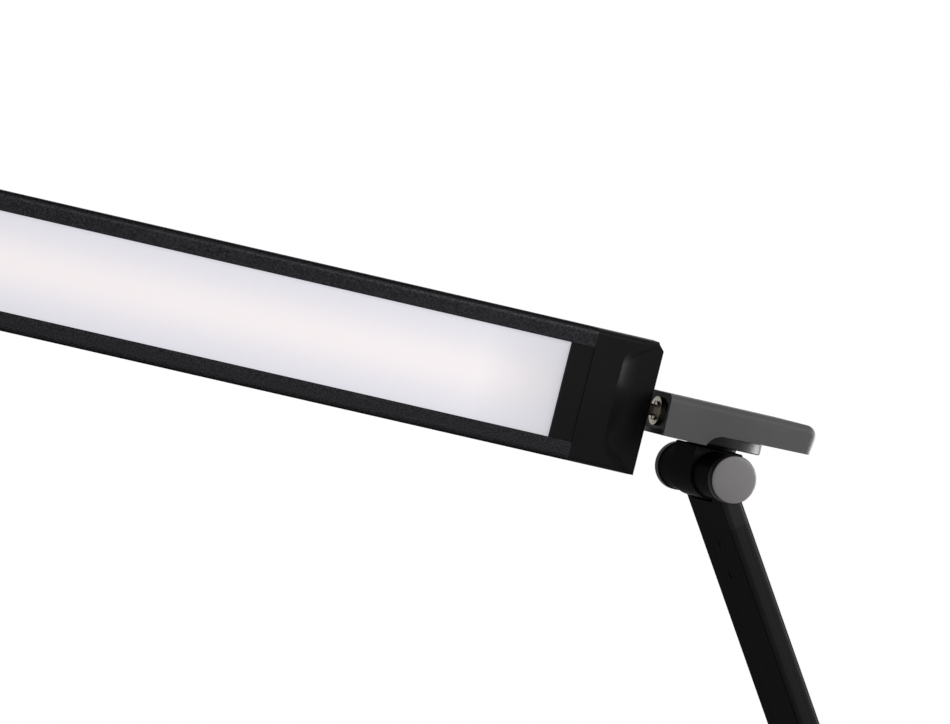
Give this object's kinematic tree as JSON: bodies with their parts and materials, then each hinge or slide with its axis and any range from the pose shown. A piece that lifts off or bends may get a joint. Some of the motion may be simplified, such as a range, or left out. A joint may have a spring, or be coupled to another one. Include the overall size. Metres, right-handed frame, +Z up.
{
  "type": "desk lamp",
  "caption": "Folding desk lamp: weighted base with push keys, flat arm, swivelling neck and a long bar head with a lit diffuser that rolls on its neck.",
  "frame": {"origin": "centre of the base pad's underside, where the lamp rests on the desk", "axes": "+Z up; +X from the light's free end towards the foot of the arm; -Y is the side that the light faces as modelled"},
  "size_m": [0.5183, 0.13, 0.4884],
  "materials": {
    "black_anodised": "satin black anodised, fine grain",
    "black_plastic": "fine satin",
    "grey_plastic": "satin",
    "dark_plastic": "satin",
    "black_casting": "satin black",
    "steel": "zinc plated",
    "nickel": "satin nickel",
    "dark_steel": "black oxide",
    "diffuser": "opal, lit from behind",
    "circuit_board": "white solder mask",
    "led": "moulded lens",
    "switch_plastic": "moulded",
    "key_plastic": "satin",
    "inlet_plastic": "moulded",
    "rubber": "matte"
  },
  "bodies": {
    "base": {"base_pad": "rubber", "weight_plate": "steel", "base_shell": "black_plastic", "hinge_post": "black_casting", "control_board": "circuit_board", "board_stands": "switch_plastic", "tact_switches": "switch_plastic", "power_inlet": "inlet_plastic", "base_screws": "dark_steel", "post_screws": "dark_steel"},
    "arm": {"arm_tube": "black_anodised", "fork_lower": "black_plastic", "fork_upper": "black_plastic", "fork_pins": "steel", "hinge_bolts": "steel", "hinge_nuts": "steel", "disc_springs": "steel", "hinge_caps": "grey_plastic"},
    "yoke": {"yoke": "black_casting", "swivel_stud": "steel", "thrust_washer": "steel", "swivel_washer": "steel", "swivel_nut": "steel"},
    "neck": {"neck_shell": "grey_plastic", "neck_floor": "dark_plastic", "swivel_disc": "dark_plastic", "disc_screws": "dark_steel", "neck_screws": "dark_steel"},
    "head": {"head_extrusion": "black_anodised", "hinge_end_cap": "black_plastic", "free_end_cap": "black_plastic", "diffuser": "diffuser", "led_strip": "circuit_board", "led_chips": "led", "cap_screws": "dark_steel", "pivot_shaft": "dark_steel", "pivot_washer": "nickel", "pivot_ring": "nickel", "lock_washer": "steel", "lock_nut": "steel"},
    "power_key": {"key_power": "key_plastic"},
    "mode_key": {"key_mode": "key_plastic"},
    "dim_key": {"key_dim": "key_plastic"},
    "bright_key": {"key_bright": "key_plastic"}
  },
  "joints": [
    {"name": "arm_tilt", "type": "hinge", "parent": "base", "child": "arm", "pos_m": [0.062, 0, 0.033], "axis": [0, 1, 0], "range_deg": [-69, 35]},
    {"name": "head_tilt", "type": "hinge", "parent": "arm", "child": "yoke", "pos_m": [-0.05651, 0, 0.35168], "axis": [0, 1, 0], "range_deg": [-75, 50]},
    {"name": "swivel", "type": "hinge", "parent": "yoke", "child": "neck", "pos_m": [-0.05651, 0, 0.35168], "axis": [0.2445, 0, 0.9697], "range_deg": [-55, 55]},
    {"name": "head_roll", "type": "hinge", "parent": "neck", "child": "head", "pos_m": [-0.05158, 0, 0.37126], "axis": [0.9697, 0, -0.2445], "range_deg": [-2.43, 177.57]},
    {"name": "power_press", "type": "slide", "parent": "base", "child": "power_key", "axis": [0, 0, -1], "range_m": [0, 0.0008], "stiffness_N_per_m": 150},
    {"name": "mode_press", "type": "slide", "parent": "base", "child": "mode_key", "axis": [0, 0, -1], "range_m": [0, 0.0008], "stiffness_N_per_m": 150},
    {"name": "dim_press", "type": "slide", "parent": "base", "child": "dim_key", "axis": [0, 0, -1], "range_m": [0, 0.0008], "stiffness_N_per_m": 150},
    {"name": "bright_press", "type": "slide", "parent": "base", "child": "bright_key", "axis": [0, 0, -1], "range_m": [0, 0.0008], "stiffness_N_per_m": 150}
  ]
}
